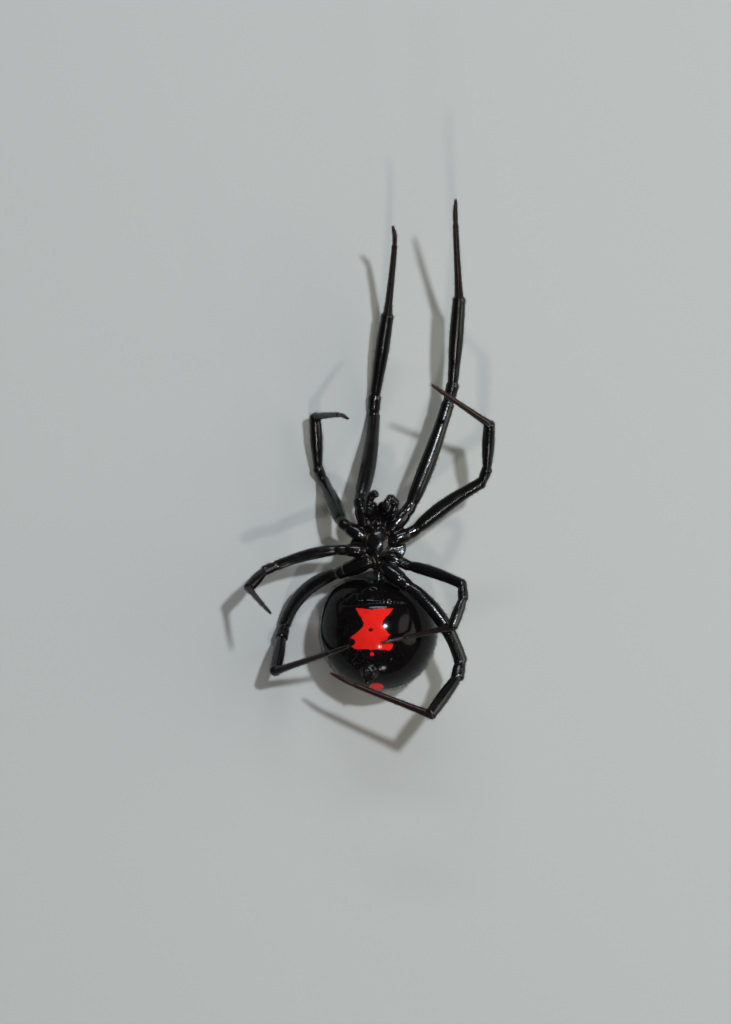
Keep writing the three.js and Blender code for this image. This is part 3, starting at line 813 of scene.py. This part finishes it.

# %% [markdown]
# ## Attributes for the finish
#
# On the animal the black runs softly into the brown of the feet and of the joints. Three numbers
# go with every point: how deep it is inside a red mark, how much of the brown of the feet it has,
# and how close it is to the soft skin of a joint. They could be painted on by hand, but numbers
# worked out from the sizes stay in place when a leg is turned. The brown is the feet's own colour,
# but the right legs get less of it than the left, the hind right one least: that is painted shade.

# %% Brown of the feet, and joints
# Painted shade: the right legs get less brown than the left, so their feet stay darker.
BROWN_FEET_AND_SHADE = {"left_1": 0.8, "left_2": 0.9, "left_3": 0.4, "left_4": 1.0,
              "right_1": 0.6, "right_2": 0.5, "right_3": 0.3, "right_4": 0.2}
BROWN_PALPS = 0.1
BROWN_SPINNERETS = 0.15
METATARSUS_SHARE, TARSUS_SHARE = 0.3, 0.7
JOINT_WIDTH = 0.08
foot = np.zeros(len(points))
joint = np.zeros(len(points))
for number, rod in enumerate(all_rods):
    mine = region == FIRST_ROD + number
    brown = BROWN_FEET_AND_SHADE.get(rod.name[: rod.name.rfind("_")], BROWN_PALPS)
    share = along[mine] / rod.reach[-1]
    if rod.name.endswith("metatarsus"):
        foot[mine] = brown * (METATARSUS_SHARE + (TARSUS_SHARE - METATARSUS_SHARE) * share)
    elif rod.name.endswith("_tarsus"):
        foot[mine] = brown * (TARSUS_SHARE + (1 - TARSUS_SHARE) * share)
    elif rod.name.startswith("spinneret"):
        foot[mine] = BROWN_SPINNERETS
    if rod.neck is not None:
        joint[mine] = hump(along[mine] - rod.neck, JOINT_WIDTH)
print("points with brown", int((foot > 0).sum()))

# %% Store the attributes and scale to metres
def store(mesh, name, values):
    """Keeps one number for each point of a mesh."""
    layer = mesh.attributes.new(name, "FLOAT", "POINT")
    layer.data.foreach_set("value", np.asarray(values, np.float32))


skin_mesh.vertices.foreach_set("co", (points * MM).astype(np.float32).ravel())
for name, values in (("mark", mark), ("foot", foot), ("joint", joint)):
    store(skin_mesh, name, values)
skin_mesh.polygons.foreach_set("use_smooth", np.ones(len(skin_mesh.polygons), bool))
skin_mesh.update()
skin = placed("spider_skin", skin_mesh)
print("the skin carries", [layer.name for layer in skin_mesh.attributes])

# %% [markdown]
# ## The finish of the shell
#
# A widow's shell is black through and through. The globe is like lacquer, with tight, hard
# glints. On the legs fine pores and the roots of short hairs break the light up into a pale,
# grainy streak. The feet are duller, and the prosoma lies between. One material could hold all of
# that behind masks, but four small ones are easier to tune. One function makes them from the same
# colours, so that the marks and the brown of the feet run on from one to the next.

# %% Material helpers
class Nodes:
    """Makes the nodes of one material and links them."""

    def __init__(self, name):
        self.material = bpy.data.materials.new(name)
        self.material.use_nodes = True
        self.tree = self.material.node_tree
        self.shader = self.tree.nodes["Principled BSDF"]

    def feed(self, socket, value):
        """Links an output to a socket, or sets a constant on it."""
        if isinstance(value, bpy.types.NodeSocket):
            self.tree.links.new(value, socket)
        else:
            socket.default_value = value

    def add(self, kind, inputs=(), **settings):
        node = self.tree.nodes.new(kind)
        for key, value in settings.items():
            setattr(node, key, value)
        for key, value in dict(inputs).items():
            self.feed(node.inputs[key], value)
        return node

    def attribute(self, name):
        return self.add("ShaderNodeAttribute", attribute_name=name).outputs["Fac"]

    def noise(self, scale, detail):
        place = self.add("ShaderNodeTexCoord").outputs["Object"]
        return self.add("ShaderNodeTexNoise", {"Vector": place, "Scale": scale, "Detail": detail,
                                               "Roughness": 0.55}).outputs["Fac"]

    def ranged(self, value, low, high, to_low=0.0, to_high=1.0):
        return self.add("ShaderNodeMapRange", {"Value": value, "From Min": low, "From Max": high,
                                               "To Min": to_low, "To Max": to_high}).outputs["Result"]

    def maths(self, operation, a, b):
        return self.add("ShaderNodeMath", {0: a, 1: b}, operation=operation).outputs[0]

    def mixed(self, factor, a, b):
        node = self.add("ShaderNodeMix", data_type="RGBA")
        for index, value in ((0, factor), (6, a), (7, b)):
            self.feed(node.inputs[index], value)
        return node.outputs[2]

    def bump(self, height, strength, distance):
        inputs = {"Height": height, "Strength": strength, "Distance": distance}
        return self.add("ShaderNodeBump", inputs).outputs["Normal"]

    def plug(self, **sockets):
        for name, value in sockets.items():
            self.feed(self.shader.inputs[name.replace("_", " ")], value)


BLACK = (0.0018, 0.0018, 0.0022, 1)
BLACK_BROWN = (0.004, 0.0026, 0.0022, 1)
MAROON = (0.022, 0.0055, 0.004, 1)
JOINT_BROWN = (0.012, 0.006, 0.004, 1)
RED = (0.52, 0.006, 0.006, 1)
RED_ORANGE = (0.59, 0.018, 0.010, 1)
JOINT_SHARE = 0.4
MARK_EDGE = (-0.018, 0.022)
MARK_RAGGEDNESS = 0.10
GRAIN_DEPTH = 0.00002

# %% The shell material
def shell_finish(name, rough_low, rough_high, index, grain_strength):
    """A glossy black shell. The index of refraction sets how much it mirrors."""
    shell = Nodes(name)
    black = shell.mixed(shell.noise(900.0, 3.0), BLACK, BLACK_BROWN)
    # The brown of the feet; on the right legs it is lessened as painted shade.
    black = shell.mixed(shell.attribute("foot"), black, MAROON)
    near_joint = shell.maths("MULTIPLY", shell.attribute("joint"), JOINT_SHARE)
    black = shell.mixed(near_joint, black, JOINT_BROWN)
    ragged = shell.maths("SUBTRACT", shell.noise(5200.0, 2.0), 0.5)
    ragged = shell.maths("MULTIPLY", ragged, MARK_RAGGEDNESS)
    inside_mark = shell.ranged(shell.maths("ADD", shell.attribute("mark"), ragged), *MARK_EDGE)
    red = shell.mixed(shell.noise(2600.0, 4.0), RED, RED_ORANGE)
    shell.plug(
        Base_Color=shell.mixed(inside_mark, black, red),
        Roughness=shell.ranged(shell.noise(2100.0, 3.0), 0.3, 0.7, rough_low, rough_high),
        IOR=index,
        Normal=shell.bump(shell.noise(9000.0, 4.0), grain_strength, GRAIN_DEPTH),
    )
    return shell.material


# %% Four shells for the parts of the skin
GLOBE_SHELL, BODY_SHELL, LEG_SHELL, FOOT_SHELL = range(4)
SHELL_OF_PART = {"femur": LEG_SHELL, "patella": LEG_SHELL, "tibia": LEG_SHELL,
                 "metatarsus": FOOT_SHELL, "tarsus": FOOT_SHELL, "spinneret": GLOBE_SHELL}
SHELLS = [("globe_shell", 0.11, 0.14, 1.2, 0.06), ("body_shell", 0.14, 0.22, 1.4, 0.35),
          ("leg_shell", 0.17, 0.25, 1.42, 0.6), ("foot_shell", 0.26, 0.34, 1.35, 0.3)]
skin_mesh.materials.clear()
for shell in SHELLS:
    skin_mesh.materials.append(shell_finish(*shell))
rod_shell = np.array([SHELL_OF_PART.get(rod.name.split("_")[-1], BODY_SHELL) for rod in rods]
                     + [SHELL_OF_PART.get(rod.name.split("_")[0], BODY_SHELL) for rod in small_rods])
finish = np.where(region == ABDOMEN, GLOBE_SHELL, BODY_SHELL)
on_rod = region >= FIRST_ROD
finish[on_rod] = rod_shell[region[on_rod] - FIRST_ROD]
first_corners = read_all(skin_mesh.polygons, "loop_start", np.int32, 1)[:, 0]
loop_points = read_all(skin_mesh.loops, "vertex_index", np.int32, 1)[:, 0]
finish = finish[loop_points[first_corners]]
skin_mesh.polygons.foreach_set("material_index", finish.astype(np.int32))
print("faces by finish", np.bincount(finish))

# %% [markdown]
# ## Eyes
#
# A widow has eight small eyes in two rows across the front of its head, each a smooth, dark lens.
# From the belly side they are hidden, so they only need to be true from the front. They are
# balls of their own, not bumps of the skin, because nothing on the shell is as clear as a lens.

# %% Eyes
EYE_RADIUS = 0.125
EYE_ROWS = {"front": (0.93, [-25, -65, -115, -155]), "rear": (0.8, [-40, -73, -107, -140])}
EYE_COLUMNS = ["left_side", "left_middle", "right_middle", "right_side"]


def solid_piece(name, pieces, material):
    """A smooth mesh object of closed forms, which rides on the body."""
    mesh = joined_mesh(name, [(verts * MM, faces) for verts, faces in pieces])
    mesh.polygons.foreach_set("use_smooth", np.ones(len(mesh.polygons), bool))
    mesh.materials.append(material)
    piece = placed(name, mesh)
    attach(piece, "root")
    return piece


lens = Nodes("eye_lens")
lens.plug(
    Base_Color=lens.mixed(lens.noise(3000.0, 2.0), (0.002, 0.002, 0.003, 1), (0.009, 0.007, 0.006, 1)),
    Roughness=0.04,
    Coat_Weight=0.6,
    Coat_Roughness=0.02,
)
for row, (forward, angles) in EYE_ROWS.items():
    ring = math.sqrt(1 - forward**2)
    for column, degrees in zip(EYE_COLUMNS, angles):
        angle = math.radians(degrees)
        place = on_shield(np.array([ring * math.cos(angle), forward, ring * math.sin(angle)]))
        verts, faces = ball(32, 20)
        piece = solid_piece(f"lens_{row}_{column}", [(verts * EYE_RADIUS + from_prosoma(place), faces)],
                            lens.material)
        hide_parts(f"eye_{row}_{column}")
print("eyes:", len(EYE_ROWS) * len(EYE_COLUMNS))

# %% [markdown]
# ## Fangs and claws
#
# The fangs are short, curved and dark red, and fold in under the jaws. Every foot ends in two
# claws and a smaller middle hook. Fangs and claws alike are bent cones along a short path. The
# skin could take them in as well, but its even faces are too large for a fine point.

# %% Fangs and claws
horn = Nodes("horn")
horn.plug(
    Base_Color=horn.mixed(horn.noise(2500.0, 2.0), (0.030, 0.006, 0.004, 1), (0.012, 0.004, 0.003, 1)),
    Roughness=0.14,
    IOR=1.4,
)


def cone_rod(name, path, near, far):
    return Rod(name, path, near + (far - near) * np.linspace(0, 1, len(path)) ** 1.3)


for name, side in (("left", 1), ("right", -1)):
    knuckle = from_prosoma([side * 0.3, 2.2, 0.86])
    point = from_prosoma([side * 0.1, 2.08, 1.36])
    bend = from_prosoma([side * 0.1, 0.1, 0.03]) - PROSOMA_CENTRE
    fang = cone_rod(f"fang_{name}", bowed(knuckle, point, bend), 0.115, 0.015)
    solid_piece(f"fang_{name}", [fang.mesh(16)], horn.material)

CLAWS = [(-1, 0.2), (1, 0.2), (0, 0.13)]
CLAW_STEPS = 7
CLAW_GAP, CLAW_SPLAY, CLAW_BEND = 0.045, 0.03, 0.05
claws = []
for rod in rods:
    if not rod.name.endswith("_tarsus"):
        continue
    out, up = rod.across[-1], rod.up[-1]
    for side, length in CLAWS:
        start = rod.path[-1] + out * side * CLAW_GAP
        end = start + rod.forward[-1] * length + out * side * CLAW_SPLAY - up * CLAW_BEND
        path = start + (end - start) * np.linspace(0, 1, CLAW_STEPS)[:, None]
        path = path + up * CLAW_BEND * np.sin(np.linspace(0, math.pi, CLAW_STEPS))[:, None]
        claws.append(cone_rod("claw", path, 0.03, 0.006).mesh(8, 2))
solid_piece("tarsal_claws", claws, horn.material)
print("claws:", len(claws))

# %% [markdown]
# ## Hairs
#
# The shell is not bare. Short bristles lean along every leg towards the foot and run over the
# globe towards the tail. They are too fine to see one by one, but they break the outline and
# catch small glints. Each hair is a bent spike of ten faces, as the hair systems of Blender are
# lost in an export. Roots are strewn by area, so that large faces and small ones get their share.

# %% Where hairs grow
skin_mesh.calc_loop_triangles()
corners = read_all(skin_mesh.loop_triangles, "vertices", np.int32, 3)
sides = points[corners]
areas = np.linalg.norm(np.cross(sides[:, 1] - sides[:, 0], sides[:, 2] - sides[:, 0]), axis=1) / 2
skin_normals = vectors_of(skin_mesh.vertex_normals, "vector")
print("the skin covers", areas.sum().round(1), "square millimetres")


class Roots:
    """Places on the skin where hairs grow, with what the skin knows there."""

    def __init__(self, count, wish):
        chance = areas * wish[corners].mean(1)
        chosen = random.choice(len(corners), count, p=chance / chance.sum())
        a, b = random.random((2, count))
        over = a + b > 1
        a[over], b[over] = 1 - a[over], 1 - b[over]
        share = np.stack([1 - a - b, a, b], 1)[..., None]
        three = corners[chosen]
        self.place = (points[three] * share).sum(1)
        self.normal = unit((skin_normals[three] * share).sum(1))
        first = three[:, 0]
        self.region, self.along, self.around = region[first], along[first], around[first]
        self.lie, self.mark, self.foot = lie[first], mark[first], foot[first]

    def keep(self, wanted):
        for name, values in list(vars(self).items()):
            setattr(self, name, values[wanted])


# %% Spikes
SPIKE_FACES = np.array([(0, 2, 1), (0, 1, 4), (0, 4, 3), (1, 2, 5), (1, 5, 4),
                        (2, 0, 3), (2, 3, 5), (3, 4, 6), (4, 5, 6), (5, 3, 6)])
CORNERS_OF_HAIR = 7
THIRDS = [k * 2 * math.pi / 3 for k in range(3)]
PATCH = 0.0015
PATCH_RINGS = [(a, PATCH) for a in THIRDS] + [(a + 0.5, PATCH * 0.5) for a in THIRDS]
PATCH_CORNERS = np.array([(math.cos(a) * r, math.sin(a) * r) for a, r in PATCH_RINGS] + [(0, 0)])
TIP_LIFT = 0.55
ROOT_DEPTH = 0.02
ROOT_WIDTH, MIDDLE_WIDTH = 0.5, 0.36


def spikes(roots, lengths, widths, lifts, turns):
    """Seven corners of every hair. A lift is the angle off the skin, a turn is off the lie."""
    flow = roots.lie - roots.normal * (roots.lie * roots.normal).sum(1, keepdims=True)
    flow = unit(flow + 1e-6)
    cross = np.cross(roots.normal, flow)
    flow = unit(flow * np.cos(turns)[:, None] + cross * np.sin(turns)[:, None])
    side = np.cross(roots.normal, flow)
    first, second = [flow * np.cos(lift) + roots.normal * np.sin(lift)
                     for lift in (lifts[:, None], lifts[:, None] * TIP_LIFT)]
    middle = roots.place + first * lengths[:, None] * 0.5
    tip = middle + second * lengths[:, None] * 0.5
    base = roots.place - roots.normal * ROOT_DEPTH
    rings = []
    for centre, line, thick in ((base, first, ROOT_WIDTH), (middle, second, MIDDLE_WIDTH)):
        third = np.cross(line, side)
        rings += [centre + (side * math.cos(a) + third * math.sin(a)) * widths[:, None] * thick
                  for a in THIRDS]
    return np.stack([*rings, tip], 1)


def hair_piece(name, roots, hairs, unwrap):
    """One mesh of many hairs. Its map holds every hair as a small patch at its root."""
    mesh = bpy.data.meshes.new(name)
    starts = np.arange(len(hairs))[:, None, None] * CORNERS_OF_HAIR
    faces = (SPIKE_FACES[None] + starts).reshape(-1, 3)
    mesh.from_pydata((hairs.reshape(-1, 3) * MM).tolist(), [], faces.tolist())
    patches = (unwrap[:, None] + PATCH_CORNERS[None]).reshape(-1, 2)
    layer = mesh.uv_layers.new(name="OFBake")
    layer.data.foreach_set("uv", patches[faces.ravel()].astype(np.float32).ravel())
    store(mesh, "mark", np.repeat(roots.mark, CORNERS_OF_HAIR))
    store(mesh, "foot", np.repeat(roots.foot, CORNERS_OF_HAIR))
    mesh.materials.append(hair.material)
    piece = placed(name, mesh)
    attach(piece, "root")
    print(name, len(hairs), "hairs,", len(mesh.polygons), "faces, map from", patches.min(0).round(3),
          "to", patches.max(0).round(3))


# %% [markdown]
# ## The coat of the globe
#
# On the globe the hairs are thin, short and far apart, and they take the red of the mark that
# they stand on. The map of this piece could give every hair a place by itself, but then each
# would get only a speck. So it is the globe's own map: its longitude and its latitude.

# %% Hair material
hair = Nodes("hair")
hair_black = hair.mixed(hair.noise(2400.0, 2.0), (0.003, 0.003, 0.0035, 1), (0.010, 0.008, 0.007, 1))
# The brown of the feet; on the right legs it is lessened as painted shade.
hair_black = hair.mixed(hair.attribute("foot"), hair_black, (0.024, 0.008, 0.005, 1))
hair.plug(
    Base_Color=hair.mixed(hair.ranged(hair.attribute("mark"), *MARK_EDGE), hair_black, RED),
    Roughness=0.45,
    IOR=1.35,
)

# %% Uneven hairs and their place on a map
MAP_MARGIN = 0.004
FLOOR_CLEARANCE = 0.01


def spread(count, middle, width):
    """Random values around a middle one."""
    return middle + width * (random.random(count) * 2 - 1)


def grown(roots, lengths, width, lift, turn):
    """Hairs of uneven build. Width and lift are a middle value and how far it may stray."""
    count = len(roots.place)
    widths, lifts = spread(count, *width), np.radians(spread(count, *lift))
    return spikes(roots, lengths, widths, lifts, spread(count, 0, turn))


def clear_of_floor(hairs):
    return hairs[:, :, 2].min(1) > FLOOR_CLEARANCE


def in_cell(u, v, column=0, row=0, columns=1, rows=1):
    """A place of 0 to 1 both ways, moved into one cell of a grid on the map."""
    u = np.clip(u, MAP_MARGIN * columns, 1 - MAP_MARGIN * columns)
    v = np.clip(v, MAP_MARGIN * rows, 1 - MAP_MARGIN * rows)
    return np.stack([(column + u) / columns, (row + v) / rows], 1)


def globe_map(places, centre):
    """Longitude and latitude, each from 0 to 1."""
    out = unit(places - centre)
    return np.arctan2(out[:, 1], out[:, 0]) / (2 * math.pi) + 0.5, np.arccos(out[:, 2]) / math.pi


# %% Hairs of the globe
GLOBE_HAIRS = 9000
roots = Roots(GLOBE_HAIRS, (region == ABDOMEN).astype(float))
roots.keep(roots.region == ABDOMEN)
lengths = spread(len(roots.place), 0.17, 0.06)
hairs = grown(roots, lengths, width=(0.010, 0.002), lift=(52, 14), turn=0.3)
above = clear_of_floor(hairs)
roots.keep(above)
u, v = globe_map(roots.place, ABDOMEN_CENTRE)
hair_piece("coat_abdomen", roots, hairs[above], in_cell(u, v))

# %% [markdown]
# ## The coat of the legs
#
# Bristles grow denser towards the foot, and they are longest on the tibia. One density for all
# would be simpler, but it would leave the thin feet bare. The map lays the legs side by side as
# eight columns, and stacks the seven segments of each from hip to foot, unrolled along and around.

# %% Hairs of the legs
LEG_HAIRS = 11000
SEGMENT_COUNT = 7
DENSITY = np.array([0.5, 0.6, 0.9, 1.0, 1.2, 2.0, 2.8])
LENGTHS = np.array([0.17, 0.17, 0.22, 0.24, 0.25, 0.2, 0.16])
LENGTH_STRAY = 0.4


def on_leg(regions):
    return (regions >= FIRST_ROD) & (regions < FIRST_SMALL_ROD)


wish = np.where(on_leg(region), DENSITY[(region - FIRST_ROD) % SEGMENT_COUNT], 0.0)
roots = Roots(LEG_HAIRS, wish)
roots.keep(on_leg(roots.region))
number = roots.region - FIRST_ROD
lengths = LENGTHS[number % SEGMENT_COUNT] * spread(len(number), 1, LENGTH_STRAY)
hairs = grown(roots, lengths, width=(0.011, 0.002), lift=(30, 16), turn=0.35)
above = clear_of_floor(hairs)
roots.keep(above)
number = number[above]
reaches = np.array([rod.reach[-1] for rod in rods])
unwrap = in_cell(roots.around / (2 * math.pi) + 0.5, np.clip(roots.along / reaches[number], 0, 1),
                 number // SEGMENT_COUNT, number % SEGMENT_COUNT, len(LEGS), SEGMENT_COUNT)
hair_piece("coat_legs", roots, hairs[above], unwrap)

# %% [markdown]
# ## The coat of head and breast
#
# The breast plate, jaws, palps and spinnerets carry the smallest hairs. The coat of the legs could
# hold them too, but with a piece of their own both maps stay simple. On this one the prosoma has
# the first cell of a grid, and the small rods have the others, unrolled like the legs.

# %% Hairs of the prosoma and the small rods
SMALL_HAIRS = 4200
PROSOMA_DENSITY, SMALL_ROD_DENSITY = 0.5, 1.4
on_small = region >= FIRST_SMALL_ROD
wish = np.where(region == PROSOMA, PROSOMA_DENSITY, np.where(on_small, SMALL_ROD_DENSITY, 0.0))
roots = Roots(SMALL_HAIRS, wish)
roots.keep((roots.region == PROSOMA) | (roots.region >= FIRST_SMALL_ROD))
lengths = spread(len(roots.place), 0.14, 0.05)
hairs = grown(roots, lengths, width=(0.012, 0.003), lift=(36, 16), turn=0.4)
is_small = roots.region >= FIRST_SMALL_ROD
index = np.where(is_small, roots.region - FIRST_SMALL_ROD + 1, 0)
small_reach = np.array([1.0] + [rod.reach[-1] for rod in small_rods])
u, v = globe_map(roots.place, PROSOMA_CENTRE)
u = np.where(is_small, roots.around / (2 * math.pi) + 0.5, u)
v = np.where(is_small, np.clip(roots.along / small_reach[index], 0, 1), v)
GRID = math.ceil(math.sqrt(len(small_rods) + 1))
hair_piece("coat_head", roots, hairs, in_cell(u, v, index % GRID, index // GRID, GRID, GRID))

# %% [markdown]
# ## What the skin stands for
#
# The skin takes the place of every solid of flesh and of the marks let into it. Each solid could
# have a dress of its own, but a single skin has no seams. The solids stay in the physics model,
# and only the skin shows. It rides on the one body of the model.

# %% Ride and replace
flesh = [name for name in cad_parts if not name.startswith("eye_")]
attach(skin, "root")
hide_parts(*flesh)
print("the skin stands for", len(flesh), "nodes")
